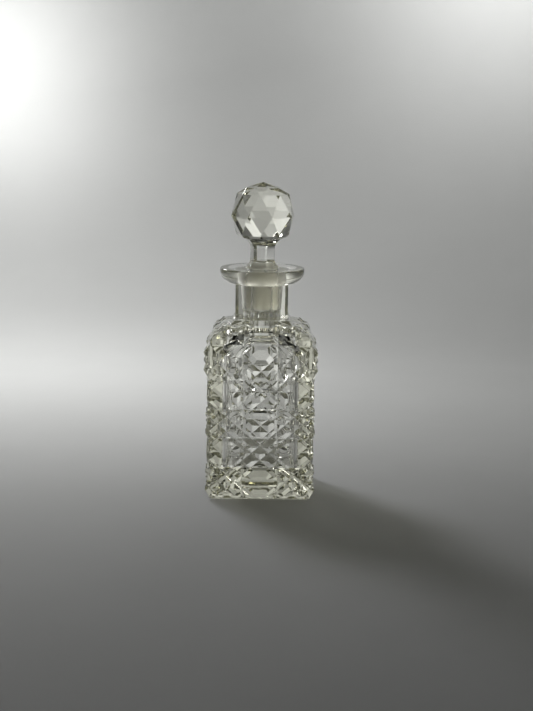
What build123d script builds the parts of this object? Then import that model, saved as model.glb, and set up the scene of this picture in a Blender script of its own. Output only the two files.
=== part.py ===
"""Square cut-glass perfume bottle with a faceted ball stopper, in millimetres.

Origin at the centre of the base, +Z up, one panelled face towards -Y.
The bottle is one solid of glass and the ground stopper is the other.
"""
from build123d import *
from math import cos, radians, sin
import os

# ---------------------------------------------------------------- body
core_half = 24.9                 # from the axis to the bottom of the grid cuts
columns = 3                      # cut cells across a face
cell_width = 2 * core_half / columns
small_rows = 4                   # equal rows above the base
small_row_height = 14.4
top_row_height = 17.6
first_row_z = 2.0                # lower edge of the lowest row
top_row_z = first_row_z + small_rows * small_row_height
shoulder_z = top_row_z + top_row_height
foot_bevel = 1.5                 # how far the foot bevel goes in
foot_height = 1.0
sink = 0.5                       # how far each cell is bedded in the core

# ---------------------------------------------------------------- cuts
diamond_rise = 2.1               # height of a diamond cell over the core
top_diamond_rise = 3.05
diamond_inset = 2.2              # width of the bevel round a diamond cell
top_diamond_inset = 4.4
button_rise = 1.2                # height of a flat octagonal button
top_button_rise = 2.1
button_inset = 1.3
top_button_inset = 2.0
cut_slope = 0.74                 # rise over run on the sides of a diagonal cut
cut_depth = 1.95                 # depth of a diagonal cut under a diamond's tip
diamond_reach = 0.25             # diagonal cuts at a quarter of the cell
button_reach = 0.75              # the same cuts, where they nick a button's corners

# ---------------------------------------------------------------- shoulder
shoulder_profile = [             # half-width and height of the stepped bands
    (core_half, shoulder_z), (24.6, 79.6), (23.2, 81.7), (21.2, 82.6),
    (19.2, 84.7), (16.2, 85.3), (14.9, 85.3), (13.7, 87.4)]
boss_cut_slope = 1.0             # rise over run on the sides of a cut between bosses
boss_cut_columns = (-1.0, -0.5, 0.5, 1.0)    # in cell widths from a face's middle
boss_cut_height = 6.0            # enough to clear the slope

# ---------------------------------------------------------------- neck and lip
neck_sides = 8
neck_apothem = 13.0
neck_top_z = 104.2
lip_radius = 20.9
lip_top_z = 112.1
lip_edge_z = 110.6               # where the underside leaves the rounded rim
lip_edge_radius = 0.7

# ---------------------------------------------------------------- inside
cavity_half = 18.8
cavity_corner = 5.0
cavity_floor_z = 14.0
cavity_floor_radius = 3.0
dome_foot = (26.0, 68.0)         # the dome over the well: radius and height
dome_middle = (18.6, 77.4)
dome_top_z = 81.4
bore_radius = 6.3
bore_z = 82.0                    # the well ends a little way up the bore
socket_bottom_z = 91.6

# ---------------------------------------------------------------- stopper
plug_top_radius = 8.0
plug_bottom_radius = 6.55
plug_bottom_z = 92.4
plug_edge = 0.8
fit_clearance = 0.06             # radial gap of the ground fit
stem_sides = 6
stem_turn = 15.0                 # degrees, azimuth of one of the stem's panels
stem_foot_z = lip_top_z + 0.9
stem_foot_half = 7.2
stem_waist_half = 5.35
stem_waist_low_z = 116.6
stem_waist_high_z = 121.4
stem_head_half = 10.3
stem_head_z = 127.2
stem_reach = 10.6                # the panels' corners are turned down to this radius
ball_sides = 8
ball_z = 137.9
ball_turn = -95.5                # degrees, azimuth of the first vertex under the crown
ball_radius = 16.1               # radius of the equator's vertices
ball_shoulder = (13.0, 10.7)     # radius and height of the ring above it
ball_base = (13.0, -9.4)         # and of the ring below it
ball_crown = (8.6, 13.8)         # radius and height of the crown vertices
ball_apex = 16.4                 # apex over the ball's centre
ball_foot = (11.6, -10.7)        # radius and height where the ball meets the stem


def cut_cell(height, rise, inset, reach, cut_floor):
    """One bevelled cell of the face, cut by four diagonal V-grooves."""
    with BuildPart() as cell:
        with BuildSketch(Plane.YZ):
            Rectangle(cell_width, height)
        extrude(amount=-sink)
        with BuildSketch(Plane.YZ):
            Rectangle(cell_width, height)
        with BuildSketch(Plane.YZ.offset(rise)):
            Rectangle(cell_width - 2 * inset, height - 2 * inset)
        loft()
        cut_top = top_diamond_rise + 0.5
        cut_half = (cut_top - cut_floor) / cut_slope
        for across in (-1, 1):
            for up in (-1, 1):
                start = Vector(0, across * reach * cell_width, 0)
                end = Vector(0, 0, up * reach * height)
                middle = (start + end) * 0.5
                section = Plane(middle, x_dir=(1, 0, 0), z_dir=end - start)
                with BuildSketch(section):
                    Polygon((cut_floor, 0), (cut_top, cut_half), (cut_top, -cut_half), align=None)
                extrude(amount=cell_width, both=True, mode=Mode.SUBTRACT)
    return cell.part


def diamond_cell(height, rise, inset):
    """A cell with a small four-sided point in its middle."""
    return cut_cell(height, rise, inset, diamond_reach, rise - cut_depth)


def button_cell(height, rise, inset):
    """A cell with a flat eight-sided top."""
    return cut_cell(height, rise, inset, button_reach, diamond_rise - cut_depth)


# Cells of one face, in a frame whose +X points out of the face
small_diamond = diamond_cell(small_row_height, diamond_rise, diamond_inset)
small_button = button_cell(small_row_height, button_rise, button_inset)
top_diamond = diamond_cell(top_row_height, top_diamond_rise, top_diamond_inset)
top_button = button_cell(top_row_height, top_button_rise, top_button_inset)

with BuildPart() as face_relief:
    for row in range(small_rows):
        row_z = first_row_z + (row + 0.5) * small_row_height
        for column in range(-1, 2):
            is_diamond = (row + column) % 2 == 1
            with Locations((0, column * cell_width, row_z)):
                add(small_diamond if is_diamond else small_button)
    for column in range(-1, 2):
        with Locations((0, column * cell_width, top_row_z + top_row_height / 2)):
            add(top_button if column == 0 else top_diamond)

# Stepped shoulder: two crossed prisms of the same profile, mitred at the corners
shoulder_outline = [(-x, z) for x, z in reversed(shoulder_profile)] + shoulder_profile
with BuildPart() as shoulder:
    with BuildSketch(Plane.XZ):
        Polygon(*shoulder_outline, align=None)
    extrude(amount=core_half, both=True)
    with BuildSketch(Plane.YZ):
        Polygon(*shoulder_outline, align=None)
    extrude(amount=core_half, both=True, mode=Mode.INTERSECT)

# Cut straight up the slope, from the body's edge to the collar: a row of these
# leaves small bosses at the shoulder's corners
collar_half, collar_foot_z = shoulder_profile[-2]
cut_foot = Vector(core_half, 0, shoulder_z)
cut_run = Vector(collar_half, 0, collar_foot_z) - cut_foot
cut_half = boss_cut_height / boss_cut_slope
cut_top_z = shoulder_z + boss_cut_height
with BuildPart() as boss_cut:
    with BuildSketch(Plane.YZ.offset(core_half)):
        Polygon((0, shoulder_z), (cut_half, cut_top_z), (-cut_half, cut_top_z), align=None)
    extrude(amount=cut_run.length, dir=cut_run)

# Hollow inside: a square well with a domed top, then the bore and the socket
with BuildPart() as cavity:
    with BuildSketch(Plane.XY.offset(cavity_floor_z)):
        RectangleRounded(2 * cavity_half, 2 * cavity_half, cavity_corner)
    extrude(amount=bore_z - cavity_floor_z)
    fillet(cavity.faces().sort_by(Axis.Z)[0].edges(), cavity_floor_radius)
    with BuildSketch(Plane.XZ):
        with BuildLine():
            Line((0, cavity_floor_z), (dome_foot[0], cavity_floor_z))
            Line((dome_foot[0], cavity_floor_z), dome_foot)
            ThreePointArc(dome_foot, dome_middle, (bore_radius, dome_top_z))
            Line((bore_radius, dome_top_z), (bore_radius, bore_z))
            Line((bore_radius, bore_z), (0, bore_z))
            Line((0, bore_z), (0, cavity_floor_z))
        make_face()
    revolve(axis=Axis.Z, mode=Mode.INTERSECT)

socket_slope = (plug_top_radius - plug_bottom_radius) / (lip_top_z - plug_bottom_z)
socket_top_radius = plug_top_radius + fit_clearance
socket_bottom_radius = socket_top_radius - socket_slope * (lip_top_z - socket_bottom_z)
with BuildPart() as bore:
    with BuildSketch(Plane.XZ):
        Polygon((0, bore_z - 1), (bore_radius, bore_z - 1), (bore_radius, socket_bottom_z),
                (socket_bottom_radius, socket_bottom_z), (socket_top_radius, lip_top_z),
                (socket_top_radius, lip_top_z + 1), (0, lip_top_z + 1), align=None)
    revolve(axis=Axis.Z)

with BuildPart() as bottle:
    with BuildSketch(Plane.XY):
        Rectangle(2 * core_half, 2 * core_half)
    extrude(amount=shoulder_z)
    chamfer(bottle.faces().sort_by(Axis.Z)[0].edges(), foot_height, foot_bevel)
    with PolarLocations(core_half, 4):
        add(face_relief.part)
    add(shoulder.part)
    for side in range(4):
        turned = Location((0, 0, 0), (0, 0, 90 * side))
        with Locations(*[turned * Location((0, c * cell_width, 0)) for c in boss_cut_columns]):
            add(boss_cut.part, mode=Mode.SUBTRACT)
    with BuildSketch(Plane.XY.offset(shoulder_z)):
        RegularPolygon(neck_apothem, neck_sides, major_radius=False, rotation=180 / neck_sides)
    extrude(amount=neck_top_z + 1 - shoulder_z)
    with BuildSketch(Plane.XZ):
        with BuildLine():
            rim_in = lip_radius - lip_edge_radius
            Line((0, neck_top_z), (neck_apothem, neck_top_z))
            EllipticalCenterArc((neck_apothem, lip_edge_z), lip_radius - neck_apothem,
                                lip_edge_z - neck_top_z, start_angle=270, arc_size=90)
            Line((lip_radius, lip_edge_z), (lip_radius, lip_top_z - lip_edge_radius))
            RadiusArc((lip_radius, lip_top_z - lip_edge_radius), (rim_in, lip_top_z),
                      -lip_edge_radius)
            Line((rim_in, lip_top_z), (0, lip_top_z))
            Line((0, lip_top_z), (0, neck_top_z))
        make_face()
    revolve(axis=Axis.Z)
    add(cavity.part, mode=Mode.SUBTRACT)
    add(bore.part, mode=Mode.SUBTRACT)
bottle.part.label = "bottle"


def ring(radius, height, half_steps):
    """One ring of the ball's vertices, turned by a number of half steps."""
    step = 360 / ball_sides
    azimuths = [radians(ball_turn + step * (k + half_steps / 2)) for k in range(ball_sides)]
    return [Vector(radius * cos(a), radius * sin(a), ball_z + height) for a in azimuths]


def triangle_band(lower, upper):
    """The triangles between two rings, the upper turned half a step ahead."""
    corners = []
    for k in range(ball_sides):
        ahead = (k + 1) % ball_sides
        corners.append((lower[k], lower[ahead], upper[k]))
        corners.append((lower[ahead], upper[ahead], upper[k]))
    return corners


# Ball: flat facets through rings of vertices, every other ring turned by half a step
lower_ring = ring(*ball_base, 0)
equator = ring(ball_radius, 0, 1)
upper_ring = ring(*ball_shoulder, 2)
crown = ring(*ball_crown, 3)
foot = ring(*ball_foot, 0)
apex = Vector(0, 0, ball_z + ball_apex)
facets = triangle_band(lower_ring, equator) + triangle_band(equator, upper_ring)
facets += triangle_band(upper_ring, crown)
for k in range(ball_sides):
    ahead = (k + 1) % ball_sides
    facets.append((crown[k], crown[ahead], apex))
    facets.append((foot[k], foot[ahead], lower_ring[ahead], lower_ring[k]))
facets.append(tuple(reversed(foot)))
ball = Solid(Shell([Face(Wire.make_polygon(corners, close=True)) for corners in facets]))

# Stem: a hexagonal column, waisted, so each panel is one long hollow flute, and turned
# round where it meets the ball
with BuildPart() as stem:
    for k in range(stem_sides // 2):
        turn = radians(stem_turn + 60 * k)
        across = Plane((0, 0, 0), x_dir=(cos(turn), sin(turn), 0), z_dir=(sin(turn), -cos(turn), 0))
        with BuildSketch(across) as flute:
            with BuildLine():
                right = [(stem_foot_half, stem_foot_z), (stem_waist_half, stem_waist_low_z),
                         (stem_waist_half, stem_waist_high_z), (stem_head_half, stem_head_z)]
                Line((0, stem_foot_z), right[0])
                TangentArc(right[1], right[0], tangent=(0, -1))
                Line(right[1], right[2])
                TangentArc(right[2], right[3], tangent=(0, 1))
                Line(right[3], (0, stem_head_z))
                Line((0, stem_head_z), (0, stem_foot_z))
            make_face()
            mirror(about=Plane.YZ)
        extrude(amount=2 * stem_head_half, both=True, mode=Mode.ADD if k == 0 else Mode.INTERSECT)
    with BuildSketch(Plane.XY.offset(stem_foot_z)):
        Circle(stem_reach)
    extrude(amount=stem_head_z - stem_foot_z, mode=Mode.INTERSECT)

with BuildPart() as stopper:
    add(ball)
    add(stem.part)
    with BuildSketch(Plane.XZ):
        Polygon((0, plug_bottom_z), (plug_bottom_radius - plug_edge, plug_bottom_z),
                (plug_bottom_radius, plug_bottom_z + plug_edge), (plug_top_radius, lip_top_z),
                (plug_top_radius, stem_foot_z + 0.01), (0, stem_foot_z + 0.01), align=None)
    revolve(axis=Axis.Z)
stopper.part.label = "stopper"

os.makedirs("parts", exist_ok=True)
export_step(bottle.part, "parts/bottle.step")
export_step(stopper.part, "parts/stopper.step")
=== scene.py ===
"""Looks of the cut-glass perfume bottle: meshes, glass, a plain paper sweep, light and camera.

Meshes are worked out in millimetres in the part's own frame and scaled to metres at the end.
"""
import itertools
import math

import bmesh
import bpy
from mathutils import Matrix, Vector


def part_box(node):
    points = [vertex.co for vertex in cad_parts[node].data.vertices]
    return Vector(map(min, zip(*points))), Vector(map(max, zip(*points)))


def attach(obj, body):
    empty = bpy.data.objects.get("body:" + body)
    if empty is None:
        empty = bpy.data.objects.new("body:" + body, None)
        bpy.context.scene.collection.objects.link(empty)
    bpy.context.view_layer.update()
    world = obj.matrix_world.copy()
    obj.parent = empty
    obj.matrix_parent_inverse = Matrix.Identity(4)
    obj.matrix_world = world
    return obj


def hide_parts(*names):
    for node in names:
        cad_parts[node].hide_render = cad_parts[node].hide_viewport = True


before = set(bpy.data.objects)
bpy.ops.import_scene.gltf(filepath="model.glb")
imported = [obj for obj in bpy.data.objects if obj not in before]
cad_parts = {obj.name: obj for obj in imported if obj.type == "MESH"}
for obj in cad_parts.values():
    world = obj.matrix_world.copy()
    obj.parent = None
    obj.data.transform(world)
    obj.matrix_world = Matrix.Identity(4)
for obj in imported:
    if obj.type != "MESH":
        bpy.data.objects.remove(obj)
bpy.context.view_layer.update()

MM = 0.001
bottle_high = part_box("bottle")[1]
stopper_low, stopper_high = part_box("stopper")

# ------------------------------------------------------------ sizes, in millimetres
core_half = 24.9                      # to the bottom of the grid cuts
columns = 3
cell_width = 2 * core_half / columns
small_rows = 4
small_row_height = 14.4
top_row_height = 17.6
first_row_z = 2.0
top_row_z = first_row_z + small_rows * small_row_height
shoulder_z = top_row_z + top_row_height
foot_bevel = 1.5
foot_height = 1.0

diamond_rise = 2.1
top_diamond_rise = bottle_high.x / MM - core_half
diamond_inset = 2.2
top_diamond_inset = 4.4
diamond_reach = 0.25                  # from a cell's middle to its diagonal cuts, in cells
button_rise = 1.2
top_button_rise = 2.1
button_inset = 1.3
top_button_inset = 2.0
button_reach = 0.75
cut_slope = 0.74
cut_floor_out = 0.0                   # bottom of a diagonal cut, out from the core
top_cut_depth = 1.95
top_cut_floor_out = top_diamond_rise - top_cut_depth

shoulder_profile = [(core_half, shoulder_z), (24.6, 79.6), (23.2, 81.7), (21.2, 82.6),
                    (19.2, 84.7), (16.2, 85.3), (14.9, 85.3)]
collar_half, collar_foot_z = shoulder_profile[-1]
collar_top_half = 13.7
collar_z = 87.4
boss_cut_slope = 1.0
boss_cut_columns = (-1.0, -0.5, 0.5, 1.0)

neck_sides = 8
neck_apothem = 13.0
neck_corner = math.pi / neck_sides    # azimuth of its first corner
neck_radius = neck_apothem / math.cos(neck_corner)
neck_top_z = 104.2
lip_radius = 20.9
lip_top_z = bottle_high.z / MM
lip_edge_z = 110.6
lip_rim = 0.7                         # radius of the rounded rim
lip_dish = 0.25                       # hollow of the lip's top
mouth_edge = 0.45                     # radius of the rounded edge of the mouth
neck_gap = 0.15                       # the lip's first ring stands this far out from the neck
least_lip_step = 0.25                 # and its second at least this far out from the first

cavity_half = 18.8
cavity_corner = 5.0
cavity_floor_z = 14.0
cavity_floor_radius = 3.0
bore_radius = 6.3
dome_foot = (26.0, 68.0)
dome_middle = (18.6, 77.4)
dome_top_z = 81.4
dome_blend = 1.6                      # rounding between the dome and the well's walls
corner_closing = 0.6                  # how fast the well's corners tighten in its floor's rounding
socket_bottom_z = 91.6
socket_step = 0.12                    # fall of each of the rings that lead from socket to bore
bore_step = 1.6                       # fall of each ring of the bore

plug_top_radius = 8.0
plug_bottom_radius = 6.55
plug_bottom_z = stopper_low.z / MM
plug_edge = 0.8                       # radius of the rounded edge of its end
plug_dish = 0.5                       # hollow of its end
plug_rim_inset = 0.12                 # the small chamfer between stem and plug
plug_rim_rise = 0.35
plug_rim_drop = 0.1
fit_clearance = 0.06
mouth_radius = plug_top_radius + fit_clearance
socket_slope = (plug_top_radius - plug_bottom_radius) / (lip_top_z - plug_bottom_z)

stem_sides = 6
stem_turn = math.radians(15.0)
stem_foot_z = lip_top_z + 0.9
stem_foot_half = 7.2
stem_waist_half = 5.35
stem_waist_low_z = 116.6
stem_waist_high_z = 121.4
stem_head_half = 10.3
stem_head_z = 127.2
stem_round = 10.6                     # the panels' corners are turned down to this radius

ball_sides = 8
ball_z = 137.9
ball_turn = math.radians(-95.5)
ball_radius = 16.1
ball_shoulder = (13.0, 10.7)
ball_base = (13.0, -9.4)
ball_crown = (8.6, 13.8)
ball_apex = stopper_high.z / MM - ball_z
ball_foot = (11.6, -10.7)

edge_round = 0.09                     # softened width of every cut edge
round_steps = 192                     # steps round the lip and the inside
stem_steps = 120                      # steps round the stem and the plug

POLISHED, GROUND = 0, 1               # the two finishes of the glass


# ------------------------------------------------------------ flat facets
least_region = 1e-6                   # smallest areas that are kept, in square millimetres
least_facet = 1e-5


def clip(polygon, a, b, c):
    """The part of a convex polygon in (u, v) where a*u + b*v + c <= 0."""
    kept = []
    for k, point in enumerate(polygon):
        ahead = polygon[(k + 1) % len(polygon)]
        here = a * point[0] + b * point[1] + c
        there = a * ahead[0] + b * ahead[1] + c
        if here <= 0:
            kept.append(point)
        if here * there < 0:
            t = here / (here - there)
            kept.append((point[0] + t * (ahead[0] - point[0]), point[1] + t * (ahead[1] - point[1])))
    return kept


def area(polygon):
    """Area of a polygon in (u, v)."""
    total = 0.0
    for k, point in enumerate(polygon):
        ahead = polygon[(k + 1) % len(polygon)]
        total += point[0] * ahead[1] - ahead[0] * point[1]
    return abs(total) / 2


def v_cut(start, end, floor_start, floor_end, slope):
    """A V-groove along a line in (u, v), as its line and the planes of its two sides."""
    along = (end[0] - start[0], end[1] - start[1])
    length = math.hypot(*along)
    du, dv = along[0] / length, along[1] / length
    line = (dv, -du, -(dv * start[0] - du * start[1]))
    fall = (floor_end - floor_start) / length
    floor = (fall * du, fall * dv, floor_start - fall * (du * start[0] + dv * start[1]))
    sides = [tuple(f + sign * slope * n for f, n in zip(floor, line)) for sign in (1, -1)]
    return line, sides


def cut_facets(polygon, caps, cuts):
    """The flat facets left over a convex polygon by cap planes and V-grooves: the lowest
    surface of all of them, each facet a list of (u, v, height)."""
    regions = [(polygon, list(caps))]
    for (a, b, c), (above, below) in cuts:
        split = []
        for region, planes in regions:
            for piece, side in ((clip(region, a, b, c), below), (clip(region, -a, -b, -c), above)):
                if area(piece) > least_region:
                    split.append((piece, planes + [side]))
        regions = split
    facets = []
    for region, planes in regions:
        for i, low in enumerate(planes):
            facet = region
            for j, other in enumerate(planes):
                if j != i and facet:
                    facet = clip(facet, *(p - q for p, q in zip(low, other)))
            if len(facet) > 2 and area(facet) > least_facet:
                facets.append([(u, v, low[0] * u + low[1] * v + low[2]) for u, v in facet])
    return facets


def cell_facets(column, low_z, height, rise, inset, reach, floor_out):
    """One bevelled cell of a face with its diagonal cuts, as facets in (along, up, out)."""
    middle_u = column * cell_width
    middle_v = low_z + height / 2
    half_u, half_v = cell_width / 2, height / 2
    polygon = [(middle_u + su * half_u, middle_v + sv * half_v)
               for su, sv in ((-1, -1), (1, -1), (1, 1), (-1, 1))]
    bevel = rise / inset
    caps = [(0, 0, rise)]
    for sign in (-1, 1):
        caps.append((-sign * bevel, 0, bevel * (half_u + sign * middle_u)))
        caps.append((0, -sign * bevel, bevel * (half_v + sign * middle_v)))
    cuts = []
    for su in (-1, 1):
        for sv in (-1, 1):
            start = (middle_u + su * reach * cell_width, middle_v)
            end = (middle_u, middle_v + sv * reach * height)
            cuts.append(v_cut(start, end, floor_out, floor_out, cut_slope))
    return cut_facets(polygon, caps, cuts)


def face_facets():
    """All the facets of the front face."""
    facets = []
    for row in range(small_rows):
        low_z = first_row_z + row * small_row_height
        for column in (-1, 0, 1):
            if (row + column) % 2:
                cell = (diamond_rise, diamond_inset, diamond_reach, cut_floor_out)
            else:
                cell = (button_rise, button_inset, button_reach, cut_floor_out)
            facets += cell_facets(column, low_z, small_row_height, *cell)
    for column in (-1, 0, 1):
        if column:
            cell = (top_diamond_rise, top_diamond_inset, diamond_reach, top_cut_floor_out)
        else:
            cell = (top_button_rise, top_button_inset, button_reach, cut_floor_out)
        facets += cell_facets(column, top_row_z, top_row_height, *cell)
    return [[(u, -core_half - out, v) for u, v, out in facet] for facet in facets]


def shoulder_facets():
    """The front quarter of the stepped shoulder, cut up its slope into bosses."""
    cuts = []
    for place in boss_cut_columns:
        u = place * cell_width
        cuts.append(v_cut((u, -core_half), (u, -collar_half), shoulder_z, collar_foot_z,
                          boss_cut_slope))
    facets = []
    for (outer, outer_z), (inner, inner_z) in zip(shoulder_profile, shoulder_profile[1:]):
        strip = [(-outer, -outer), (outer, -outer), (inner, -inner), (-inner, -inner)]
        slope = (inner_z - outer_z) / (outer - inner)
        facets += cut_facets(strip, [(0, slope, outer_z + slope * outer)], cuts)
    return facets


def quarter_turns(polygons):
    """The same polygons on all four sides."""
    turned = []
    for polygon in polygons:
        points = polygon
        for _ in range(4):
            turned.append(points)
            points = [(-y, x, z) for x, y, z in points]
    return turned


def on_square(half, azimuth):
    """The point of a square's outline at an azimuth."""
    reach = half / max(abs(math.cos(azimuth)), abs(math.sin(azimuth)))
    return reach * math.cos(azimuth), reach * math.sin(azimuth)


def collar_and_neck():
    """The square collar, its top, the flat neck panels and the foot bevel under the body."""
    polygons = []
    step = 2 * math.pi / neck_sides
    for k in range(neck_sides):
        first, last = (k - 0.5) * step, (k + 0.5) * step
        near = [(neck_radius * math.cos(t), neck_radius * math.sin(t)) for t in (first, last)]
        polygons.append([(*near[0], collar_z), (*near[1], collar_z),
                         (*near[1], neck_top_z), (*near[0], neck_top_z)])
        corner = [k * step] if k % 2 else []
        rim = [on_square(collar_top_half, t) for t in (first, *corner, last)]
        polygons.append([(x, y, collar_z) for x, y in [near[0], *rim, near[1]]])
    foot_half = core_half - foot_bevel
    bands = [(collar_half, collar_foot_z, collar_top_half, collar_z),
             (foot_half, 0, core_half, foot_height),
             (core_half, foot_height, core_half, first_row_z)]
    polygons += quarter_turns([[(-low, -low, low_z), (low, -low, low_z),
                                (high, -high, high_z), (-high, -high, high_z)]
                               for low, low_z, high, high_z in bands])
    polygons.append([(-foot_half, foot_half, 0), (foot_half, foot_half, 0),
                     (foot_half, -foot_half, 0), (-foot_half, -foot_half, 0)])
    return polygons


weld_grid = 2000                      # corners are matched on a grid of this many lines a millimetre
bucket = 4                            # side of the boxes that corners are looked up in
on_edge = 0.002                       # a corner this near to an edge lies on it
weld_distance = 0.01                  # the lip's corners join the neck's within this distance


def stitched(polygons):
    """Welds polygons into one mesh. A corner that lies on another polygon's edge is put into it."""
    places = {}
    points = []
    loops = []
    for polygon in polygons:
        loop = []
        for p in polygon:
            key = tuple(round(c * weld_grid) for c in p)
            near = [(key[0] + i, key[1] + j, key[2] + k)
                    for i in (0, -1, 1) for j in (0, -1, 1) for k in (0, -1, 1)]
            found = next((places[n] for n in near if n in places), None)
            if found is None:
                found = places[key] = len(points)
                points.append(Vector(p))
            if not loop or loop[-1] != found:
                loop.append(found)
        if loop[0] == loop[-1]:
            loop.pop()
        if len(loop) > 2:
            loops.append(loop)
    buckets = {}
    for index, p in enumerate(points):
        buckets.setdefault(tuple(math.floor(c / bucket) for c in p), []).append(index)
    mesh = bmesh.new()
    verts = [mesh.verts.new(p) for p in points]
    for loop in loops:
        full = []
        for k, start in enumerate(loop):
            end = loop[(k + 1) % len(loop)]
            a, b = points[start], points[end]
            low = [math.floor(min(a[i], b[i]) / bucket - 0.01) for i in range(3)]
            high = [math.floor(max(a[i], b[i]) / bucket + 0.01) for i in range(3)]
            spans = [range(low[i], high[i] + 1) for i in range(3)]
            along = (b - a).normalized()
            length = (b - a).length
            between = []
            for box in itertools.product(*spans):
                for index in buckets.get(box, ()):
                    t = (points[index] - a).dot(along)
                    off = (points[index] - a - along * t).length
                    if on_edge / 2 < t < length - on_edge / 2 and off < on_edge:
                        between.append((t, index))
            full += [start] + [index for _, index in sorted(between)]
        mesh.faces.new([verts[i] for i in full])
    return mesh


def joined_planes(mesh):
    """Joins facets that lie in one plane."""
    bmesh.ops.recalc_face_normals(mesh, faces=mesh.faces)
    bmesh.ops.dissolve_limit(mesh, angle_limit=math.radians(0.3), verts=mesh.verts, edges=mesh.edges)
    return mesh


def soften(mesh, width, least_angle=math.radians(4)):
    """Rounds every edge between two flat facets a little."""
    bmesh.ops.recalc_face_normals(mesh, faces=mesh.faces)
    edges = [e for e in mesh.edges if e.is_manifold and e.calc_face_angle(0) > least_angle
             and not any(face.smooth for face in e.link_faces)]
    bmesh.ops.bevel(mesh, geom=edges, offset=width, offset_type="OFFSET", segments=2, profile=0.5,
                    affect="EDGES", clamp_overlap=False)


# ------------------------------------------------------------ turned surfaces
def rounded_square(half, corner, azimuth):
    """Radius, at an azimuth, of a square outline with rounded corners."""
    x, y = abs(math.cos(azimuth)), abs(math.sin(azimuth))
    big, small = max(x, y), min(x, y)
    straight = half / big
    if straight * small <= half - corner:
        return straight
    centre = half - corner
    along = centre * (big + small)
    return along + math.sqrt(max(0.0, along * along - 2 * centre * centre + corner * corner))


def soft_least(a, b, blend):
    """The smaller of two lengths, with the change from one to the other rounded."""
    share = max(0.0, min(1.0, 0.5 + (b - a) / (2 * blend)))
    return b + (a - b) * share - blend * share * (1 - share)


def arc_through(start, middle, end, steps):
    """Points along the circle through three (radius, height) points."""
    (ax, ay), (bx, by), (cx, cy) = start, middle, end
    d = 2 * (ax * (by - cy) + bx * (cy - ay) + cx * (ay - by))
    a2, b2, c2 = ax * ax + ay * ay, bx * bx + by * by, cx * cx + cy * cy
    ux = (a2 * (by - cy) + b2 * (cy - ay) + c2 * (ay - by)) / d
    uy = (a2 * (cx - bx) + b2 * (ax - cx) + c2 * (bx - ax)) / d
    radius = math.hypot(ax - ux, ay - uy)
    first, last = math.atan2(ay - uy, ax - ux), math.atan2(cy - uy, cx - ux)
    return [(ux + radius * math.cos(first + (last - first) * k / steps),
             uy + radius * math.sin(first + (last - first) * k / steps)) for k in range(steps + 1)]


def add_rings(mesh, rings, finish=POLISHED, start=None):
    """Smooth quads between successive rings of points, from a row of vertices if one is given."""
    rows = ([start] if start else []) + [[mesh.verts.new(p) for p in ring] for ring in rings]
    for lower, upper in zip(rows, rows[1:]):
        for k in range(len(lower)):
            ahead = (k + 1) % len(lower)
            face = mesh.faces.new((lower[k], lower[ahead], upper[ahead], upper[k]))
            face.material_index = finish
            face.smooth = True
    return rows


def circle(radius, z, steps=round_steps, first=0.0):
    """Points of a level circle."""
    return [Vector((radius * math.cos(first + 2 * math.pi * k / steps),
                    radius * math.sin(first + 2 * math.pi * k / steps), z)) for k in range(steps)]


def add_lip(mesh):
    """The underside of the lip from the neck panels out, its rim, its top and the mouth's edge."""
    start = neck_radius + neck_gap
    reach = lip_radius - neck_apothem
    rise = lip_edge_z - neck_top_z
    profile = [(start, neck_top_z)]
    for k in range(1, 25):
        t = 0.5 * math.pi * k / 24
        radius = neck_apothem + reach * math.sin(t)
        if radius > start + least_lip_step:
            profile.append((radius, lip_edge_z - rise * math.cos(t)))
    outer = lip_radius - lip_rim
    for k in range(9):
        t = 0.5 * math.pi * k / 8
        profile.append((outer + lip_rim * math.cos(t), lip_top_z - lip_rim + lip_rim * math.sin(t)))
    inner = mouth_radius + mouth_edge
    for k in range(1, 12):
        share = k / 12
        radius = outer + (inner - outer) * share
        profile.append((radius, lip_top_z - lip_dish * math.sin(math.pi * share) ** 2))
    for k in range(7):
        t = 0.5 * math.pi * k / 6
        profile.append((inner - mouth_edge * math.sin(t),
                        lip_top_z - mouth_edge + mouth_edge * math.cos(t)))
    rows = add_rings(mesh, [circle(r, z, first=neck_corner) for r, z in profile], POLISHED)
    under = rows[0]
    per_side = round_steps // neck_sides
    corners = [mesh.verts.new(p) for p in circle(neck_radius, neck_top_z, neck_sides, neck_corner)]
    for k in range(neck_sides):
        arc = [under[(k * per_side + i) % round_steps] for i in range(per_side + 1)]
        mesh.faces.new([corners[k], corners[(k + 1) % neck_sides]] + arc[::-1])
    return rows[-1]


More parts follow.
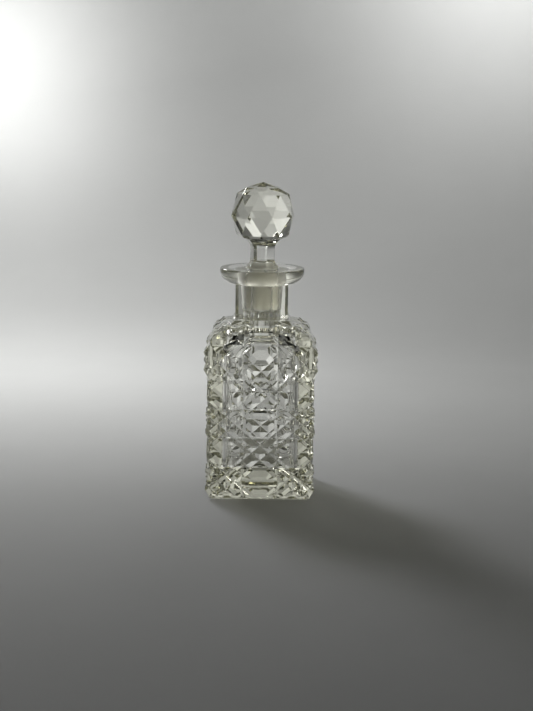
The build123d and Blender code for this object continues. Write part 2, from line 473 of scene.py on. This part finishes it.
def add_inside(mesh, mouth_row):
    """The ground socket, the polished bore, the domed top of the well, its walls and floor."""
    azimuths = [neck_corner + 2 * math.pi * k / round_steps for k in range(round_steps)]

    def ring(z, reach):
        """The ring at a height whose radius at each azimuth is what a function says."""
        return [Vector((math.cos(a), math.sin(a), 0)) * reach(a) + Vector((0, 0, z)) for a in azimuths]

    def square_ring(z, half, corner):
        """A ring of rounded-square outline."""
        return ring(z, lambda a: rounded_square(half, corner, a))

    socket = []
    socket_top_z = lip_top_z - mouth_edge
    for k in range(1, 10):
        z = socket_top_z + (socket_bottom_z - socket_top_z) * k / 9
        socket.append(circle(mouth_radius - socket_slope * (lip_top_z - z), z, first=neck_corner))
    socket_rows = add_rings(mesh, socket, GROUND, start=mouth_row)
    end_radius = mouth_radius - socket_slope * (lip_top_z - socket_bottom_z)
    rings = []
    for k in range(1, 5):
        radius = end_radius + (bore_radius - end_radius) * k / 4
        rings.append(circle(radius, socket_bottom_z - socket_step * k, first=neck_corner))
    for k in range(1, 6):
        rings.append(circle(bore_radius, socket_bottom_z - 5 * socket_step - bore_step * k,
                            first=neck_corner))
    levels = arc_through(dome_foot, dome_middle, (bore_radius, dome_top_z), 40)[::-1]
    for radius, z in levels:
        rings.append(ring(z, lambda a: soft_least(
            radius, rounded_square(cavity_half, cavity_corner, a), dome_blend)))
    last_z = levels[-1][1]
    floor_top = cavity_floor_z + cavity_floor_radius
    for k in range(1, 15):
        rings.append(square_ring(last_z + (floor_top - last_z) * k / 14, cavity_half, cavity_corner))
    for k in range(1, 9):
        t = 0.5 * math.pi * k / 8
        inset = cavity_floor_radius * (1 - math.cos(t))
        rings.append(square_ring(floor_top - cavity_floor_radius * math.sin(t), cavity_half - inset,
                                 cavity_corner - corner_closing * inset))
    floor_half = cavity_half - cavity_floor_radius
    floor_corner = cavity_corner - corner_closing * cavity_floor_radius
    for k in range(1, 12):
        share = 1 - k / 12
        half = floor_half * share
        corner = max(floor_corner * share, half * (1 - share) * 0.9)
        rings.append(square_ring(cavity_floor_z, half, corner))
    rows = add_rings(mesh, rings, POLISHED, start=socket_rows[-1])
    centre = mesh.verts.new((0, 0, cavity_floor_z))
    for k in range(round_steps):
        face = mesh.faces.new((rows[-1][k], rows[-1][(k + 1) % round_steps], centre))
        face.smooth = True


def piece_from(mesh, name):
    """A Blender object in metres from a mesh worked out in millimetres.

    Every face is smooth, and the flat cuts keep their look by sharp edges, because a volume
    is left only through a face that is shaded as the one through which it was entered."""
    for edge in mesh.edges:
        edge.smooth = all(face.smooth for face in edge.link_faces)
    for face in mesh.faces:
        face.smooth = True
    bmesh.ops.recalc_face_normals(mesh, faces=mesh.faces)
    if mesh.calc_volume(signed=True) < 0:
        bmesh.ops.reverse_faces(mesh, faces=mesh.faces)
    mesh.transform(Matrix.Scale(MM, 4))
    data = bpy.data.meshes.new(name)
    mesh.to_mesh(data)
    mesh.free()
    piece = bpy.data.objects.new(name, data)
    bpy.context.scene.collection.objects.link(piece)
    return piece


def glaze(piece, material):
    """Gives a piece its one glass, and marks the ground faces for it in an attribute."""
    data = piece.data
    ground = data.attributes.new("ground", "FLOAT", "FACE")
    ground.data.foreach_set("value", [float(face.material_index) for face in data.polygons])
    data.polygons.foreach_set("material_index", [0] * len(data.polygons))
    data.materials.clear()
    data.materials.append(material)


def make_bottle(material):
    """The bottle: one closed skin of flat cuts, panelled neck and turned lip, with the hollow inside."""
    polygons = quarter_turns(face_facets() + shoulder_facets()) + collar_and_neck()
    mesh = joined_planes(stitched(polygons))
    mouth_row = add_lip(mesh)
    joint = [v for v in mesh.verts if abs(v.co.z - neck_top_z) < weld_distance]
    bmesh.ops.remove_doubles(mesh, verts=joint, dist=weld_distance)
    soften(mesh, edge_round)
    add_inside(mesh, mouth_row)
    bottle = piece_from(mesh, "bottle_glass")
    glaze(bottle, material)
    return bottle


# ------------------------------------------------------------ stopper
def ball_ring(radius, height, half_steps):
    """One ring of the ball's vertices, turned by a number of half steps."""
    step = 2 * math.pi / ball_sides
    azimuths = [ball_turn + step * (k + half_steps / 2) for k in range(ball_sides)]
    return [Vector((radius * math.cos(a), radius * math.sin(a), ball_z + height)) for a in azimuths]


def make_ball():
    """The faceted ball: rings of vertices with triangles between them, a low point on top."""
    rings = [ball_ring(*ball_foot, 0), ball_ring(*ball_base, 0), ball_ring(ball_radius, 0, 1),
             ball_ring(*ball_shoulder, 2), ball_ring(*ball_crown, 3)]
    mesh = bmesh.new()
    rows = [[mesh.verts.new(p) for p in ring] for ring in rings]
    apex = mesh.verts.new((0, 0, ball_z + ball_apex))
    mesh.faces.new(rows[0][::-1])
    for k in range(ball_sides):
        ahead = (k + 1) % ball_sides
        mesh.faces.new((rows[0][k], rows[0][ahead], rows[1][ahead], rows[1][k]))
        mesh.faces.new((rows[4][k], rows[4][ahead], apex))
        for lower, upper in ((rows[1], rows[2]), (rows[2], rows[3]), (rows[3], rows[4])):
            mesh.faces.new((lower[k], lower[ahead], upper[k]))
            mesh.faces.new((lower[ahead], upper[ahead], upper[k]))
    soften(mesh, edge_round)
    return mesh


def stem_reach(half, azimuth):
    """Radius, at an azimuth, of the stem's six-sided outline of a given half-width."""
    step = 2 * math.pi / stem_sides
    off = (azimuth - stem_turn + step / 2) % step - step / 2
    return min(half / math.cos(off), stem_round)


def flare(run, rise, share):
    """Half-width gained and height passed along an arc that leaves the waist upright."""
    radius = (run * run + rise * rise) / (2 * run)
    angle = share * math.asin(min(1.0, rise / radius))
    return radius * (1 - math.cos(angle)), radius * math.sin(angle)


def stem_profile():
    """Half-width and height of the stem's panels, from the foot up."""
    foot_rise = stem_waist_low_z - stem_foot_z
    foot_run = stem_foot_half - stem_waist_half
    head_rise = stem_head_z - stem_waist_high_z
    head_run = stem_head_half - stem_waist_half
    profile = []
    for k in range(12, -1, -1):
        out, down = flare(foot_run, foot_rise, k / 12)
        profile.append((stem_waist_half + out, stem_waist_low_z - down))
    for k in range(13):
        out, up = flare(head_run, head_rise, k / 12)
        profile.append((stem_waist_half + out, stem_waist_high_z + up))
    return profile


def plug_ring(radius, z):
    """One level ring of the plug."""
    return circle(radius, z, stem_steps, stem_turn)


def make_stem_and_plug():
    """The waisted six-panel stem, and below it the ground plug with its rounded end."""
    azimuths = [stem_turn + 2 * math.pi * k / stem_steps for k in range(stem_steps)]
    mesh = bmesh.new()
    rings = []
    for half, z in stem_profile()[::-1]:
        rings.append([Vector((math.cos(a), math.sin(a), 0)) * stem_reach(half, a) + Vector((0, 0, z))
                      for a in azimuths])
    rows = add_rings(mesh, rings, POLISHED)
    mesh.faces.new(rows[0])
    ground_top_z = lip_top_z - plug_rim_drop
    chamfer = [plug_ring(plug_top_radius - plug_rim_inset, lip_top_z + plug_rim_rise),
               plug_ring(plug_top_radius, ground_top_z)]
    rows = add_rings(mesh, chamfer, POLISHED, start=rows[-1])
    plug = []
    ground_low_z = plug_bottom_z + plug_edge
    for k in range(1, 9):
        z = ground_top_z + (ground_low_z - ground_top_z) * k / 8
        plug.append(plug_ring(plug_top_radius - socket_slope * (lip_top_z - z), z))
    rows = add_rings(mesh, plug, GROUND, start=rows[-1])
    end = []
    end_radius = plug_bottom_radius + socket_slope * plug_edge - plug_edge
    for k in range(1, 7):
        t = 0.5 * math.pi * k / 6
        end.append(plug_ring(end_radius + plug_edge * math.cos(t), ground_low_z - plug_edge * math.sin(t)))
    for k in range(1, 7):
        share = k / 7
        hollow = plug_dish * math.sin(0.5 * math.pi * share) ** 2
        end.append(plug_ring(end_radius * (1 - share), plug_bottom_z + hollow))
    rows = add_rings(mesh, end, GROUND, start=rows[-1])
    centre = mesh.verts.new((0, 0, plug_bottom_z + plug_dish))
    for k in range(stem_steps):
        face = mesh.faces.new((rows[-1][k], rows[-1][(k + 1) % stem_steps], centre))
        face.smooth = True
        face.material_index = GROUND
    return mesh


def make_stopper(material):
    """The stopper: ball and stem joined into one solid of glass."""
    stopper = piece_from(make_stem_and_plug(), "stopper_glass")
    ball = piece_from(make_ball(), "stopper_ball")
    for piece in (stopper, ball):
        for place in (POLISHED, GROUND):
            piece.data.materials.append(None)
    union = stopper.modifiers.new("ball", "BOOLEAN")
    union.operation = "UNION"
    union.solver = "EXACT"
    union.object = ball
    bpy.context.view_layer.update()
    evaluated = stopper.evaluated_get(bpy.context.evaluated_depsgraph_get())
    solid = bpy.data.meshes.new_from_object(evaluated)
    stopper.modifiers.clear()
    stopper.data = solid
    bpy.data.objects.remove(ball)
    glaze(stopper, material)
    return stopper


# ------------------------------------------------------------ materials
glass_ior = 1.52
glass_tint = (0.80, 0.79, 0.48, 1)    # the light that isn't absorbed on the way through the glass
glass_density = 9.0                   # absorption, per metre
glass_wave = 0.00002                  # fine unevenness of the polish, in metres
ground_tone = (0.74, 0.73, 0.67, 1)   # what the rough faces of the fit let through
shadow_tone = (0.75, 0.75, 0.7275, 1) # the light that passes each surface towards the floor
paper_dark = (0.733, 0.74, 0.725, 1)
paper_light = (0.763, 0.77, 0.755, 1)
paper_fibre = 0.0001                  # height of the paper's fibre, in metres


def new_material(name):
    """An empty node material, its nodes, its links and its output."""
    material = bpy.data.materials.new(name)
    material.use_nodes = True
    nodes, links = material.node_tree.nodes, material.node_tree.links
    nodes.clear()
    return material, nodes, links, nodes.new("ShaderNodeOutputMaterial")


def fine_noise(nodes, links, scale, detail, low, high, roughness=0.5):
    """A noise through the object's own coordinates, as a value between two limits."""
    place = nodes.new("ShaderNodeTexCoord")
    grain = nodes.new("ShaderNodeTexNoise")
    grain.inputs["Scale"].default_value = scale
    grain.inputs["Detail"].default_value = detail
    grain.inputs["Roughness"].default_value = roughness
    links.new(place.outputs["Object"], grain.inputs["Vector"])
    span = nodes.new("ShaderNodeMapRange")
    span.inputs["From Min"].default_value = 0.3
    span.inputs["From Max"].default_value = 0.7
    span.inputs["To Min"].default_value = low
    span.inputs["To Max"].default_value = high
    links.new(grain.outputs["Fac"], span.inputs["Value"])
    return span.outputs["Result"]


def bumped(nodes, links, height, distance, strength=1.0):
    """A surface normal with a height in metres pressed into it."""
    bump = nodes.new("ShaderNodeBump")
    bump.inputs["Strength"].default_value = strength
    bump.inputs["Distance"].default_value = distance
    links.new(height, bump.inputs["Height"])
    return bump.outputs["Normal"]


def mixed_tone(nodes, links, share, tone_a, tone_b):
    """A colour that goes from one tone to another as a value goes from 0 to 1."""
    tone = nodes.new("ShaderNodeMix")
    tone.data_type = "RGBA"
    tone.inputs["A"].default_value = tone_a
    tone.inputs["B"].default_value = tone_b
    links.new(share, tone.inputs["Factor"])
    return tone.outputs["Result"]


def cut_glass():
    """Clear soda glass with a trace of tint, polished but for the ground plug and socket."""
    material, nodes, links, output = new_material("cut_glass")
    body = nodes.new("ShaderNodeBsdfPrincipled")
    body.inputs["Transmission Weight"].default_value = 1.0
    body.inputs["IOR"].default_value = glass_ior
    ground = nodes.new("ShaderNodeAttribute")
    ground.attribute_name = "ground"
    rough = nodes.new("ShaderNodeMix")
    links.new(ground.outputs["Fac"], rough.inputs["Factor"])
    tone = mixed_tone(nodes, links, ground.outputs["Fac"], (1, 1, 1, 1), ground_tone)
    links.new(tone, body.inputs["Base Color"])
    polish = fine_noise(nodes, links, scale=900, detail=3, low=0.0, high=0.012)
    frost = fine_noise(nodes, links, scale=2600, detail=3, low=0.5, high=0.7)
    links.new(polish, rough.inputs["A"])
    links.new(frost, rough.inputs["B"])
    links.new(rough.outputs["Result"], body.inputs["Roughness"])
    wave = fine_noise(nodes, links, scale=160, detail=2, low=0.0, high=1.0)
    links.new(bumped(nodes, links, wave, glass_wave), body.inputs["Normal"])
    clear = nodes.new("ShaderNodeBsdfTransparent")
    clear.inputs["Color"].default_value = shadow_tone
    path = nodes.new("ShaderNodeLightPath")
    mixed = nodes.new("ShaderNodeMixShader")
    links.new(path.outputs["Is Shadow Ray"], mixed.inputs[0])
    links.new(body.outputs[0], mixed.inputs[1])
    links.new(clear.outputs[0], mixed.inputs[2])
    links.new(mixed.outputs[0], output.inputs["Surface"])
    depth = nodes.new("ShaderNodeVolumeAbsorption")
    depth.inputs["Color"].default_value = glass_tint
    depth.inputs["Density"].default_value = glass_density
    links.new(depth.outputs[0], output.inputs["Volume"])
    return material


def paper():
    """Pale matt paper with a faint fibre and a little unevenness."""
    material, nodes, links, output = new_material("sweep_paper")
    body = nodes.new("ShaderNodeBsdfPrincipled")
    shade = fine_noise(nodes, links, scale=9, detail=5, low=0.0, high=1.0, roughness=0.6)
    tone = mixed_tone(nodes, links, shade, paper_dark, paper_light)
    links.new(tone, body.inputs["Base Color"])
    body.inputs["Roughness"].default_value = 0.75
    body.inputs["Specular IOR Level"].default_value = 0.3
    fibre = fine_noise(nodes, links, scale=700, detail=4, low=0.0, high=1.0, roughness=0.7)
    links.new(bumped(nodes, links, fibre, paper_fibre, strength=0.5), body.inputs["Normal"])
    links.new(body.outputs[0], output.inputs["Surface"])
    return material


# ------------------------------------------------------------ stage, light and camera, in metres
sweep_back = 0.37                     # where the floor starts to bend up, behind the bottle
sweep_front = 1.07                    # and in front of it
sweep_radius = (sweep_back + sweep_front) / 2
sweep_middle_y = (sweep_back - sweep_front) / 2
sweep_bend = 0.44                     # radius of the bend
sweep_height = 0.75
sweep_gap = 0.0003                    # the bottle stands clear of the paper by this much
sweep_steps = 128                     # steps round the sweep

room_lamp = (0.62, 0.5)               # a room light's distance from the sweep's middle, and height
room_target = (1.1, 0.25)             # the same for the place it faces

camera_place = (0.0027, -0.812, 0.211)
camera_tilt = math.radians(80.0)
camera_roll = math.radians(0.75)
camera_lens = 83.5                    # in millimetres, as is the sensor's width
camera_sensor = 36.0


def add_sweep():
    """A floor that bends up all round into a wall, nearer behind the bottle than in front of it."""
    mesh = bmesh.new()
    profile = [(0.3, 0.0), (0.6, 0.0), (sweep_radius, 0.0)]
    for k in range(1, 25):
        t = 0.5 * math.pi * k / 24
        profile.append((sweep_radius + sweep_bend * math.sin(t), sweep_bend * (1 - math.cos(t))))
    profile.append((sweep_radius + sweep_bend, sweep_height))
    middle = Vector((0, sweep_middle_y, -sweep_gap))
    rings = [[middle + point for point in circle(radius, z, sweep_steps)] for radius, z in profile]
    rows = add_rings(mesh, rings)
    mesh.faces.new(rows[0])
    bmesh.ops.recalc_face_normals(mesh, faces=mesh.faces)
    data = bpy.data.meshes.new("sweep")
    mesh.to_mesh(data)
    mesh.free()
    data.materials.append(paper())
    sweep = bpy.data.objects.new("sweep", data)
    bpy.context.scene.collection.objects.link(sweep)


def add_softbox(name, place, target, size, watts, seen=True):
    """A square light that faces a point. The camera doesn't see it; the glass may."""
    data = bpy.data.lights.new(name, "AREA")
    data.shape = "SQUARE"
    data.size = size
    data.energy = watts
    light = bpy.data.objects.new(name, data)
    light.location = place
    light.rotation_euler = (Vector(target) - Vector(place)).to_track_quat("-Z", "Y").to_euler()
    light.visible_camera = False
    light.visible_transmission = seen
    light.visible_glossy = seen
    bpy.context.scene.collection.objects.link(light)


def add_lights():
    """A key light behind and to the left, three lights on the wall behind the bottle, and a dim
    one on each of the sweep's other sides."""
    add_softbox("key", (-0.206, 0.343, 0.33), (-0.13, 0.2, 0), 0.12, 1.08)
    add_softbox("wall_left", (-0.235, 0.583, 0.285), (-0.275, 0.742, 0.21), 0.11, 0.37, seen=False)
    add_softbox("wall_right", (0.2, 0.61, 0.39), (0.2, 0.85, 0.29), 0.1, 0.38, seen=False)
    add_softbox("wall_front", (0.3, 0.1, 0.5), (0.3, 0.8, 0.25), 0.25, 0.46, seen=False)
    for side_x, side_y in ((-1, 0), (1, 0), (0, -1)):
        place, target = [(out * side_x, sweep_middle_y + out * side_y, height)
                         for out, height in (room_lamp, room_target)]
        add_softbox(f"room_{side_x}_{side_y}", place, target, 0.4, 0.5, seen=False)


def add_camera():
    """The camera: a little over the stopper's height, tilted down, with a slight roll."""
    data = bpy.data.cameras.new("camera")
    data.lens = camera_lens
    data.sensor_width = camera_sensor
    data.clip_start = 0.01
    camera = bpy.data.objects.new("camera", data)
    turn = Matrix.Rotation(camera_tilt, 4, "X") @ Matrix.Rotation(camera_roll, 4, "Z")
    camera.matrix_world = Matrix.Translation(camera_place) @ turn
    bpy.context.scene.collection.objects.link(camera)
    bpy.context.scene.camera = camera


def add_world():
    """The dark room round the sweep."""
    world = bpy.data.worlds.new("room")
    world.use_nodes = True
    world.node_tree.nodes["Background"].inputs["Color"].default_value = (0, 0, 0, 1)
    bpy.context.scene.world = world


glass = cut_glass()
bottle = make_bottle(glass)
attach(bottle, "bottle")
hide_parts("bottle")

stopper = make_stopper(glass)
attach(stopper, "stopper")
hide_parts("stopper")

add_sweep()
add_lights()
add_world()
add_camera()

scene = bpy.context.scene
scene.view_settings.view_transform = "Standard"
scene.cycles.use_denoising = True
scene.cycles.max_bounces = 24
scene.cycles.transmission_bounces = 24
scene.cycles.glossy_bounces = 16
scene.cycles.diffuse_bounces = 3
scene.cycles.transparent_max_bounces = 24
scene.cycles.caustics_refractive = False
scene.cycles.caustics_reflective = False
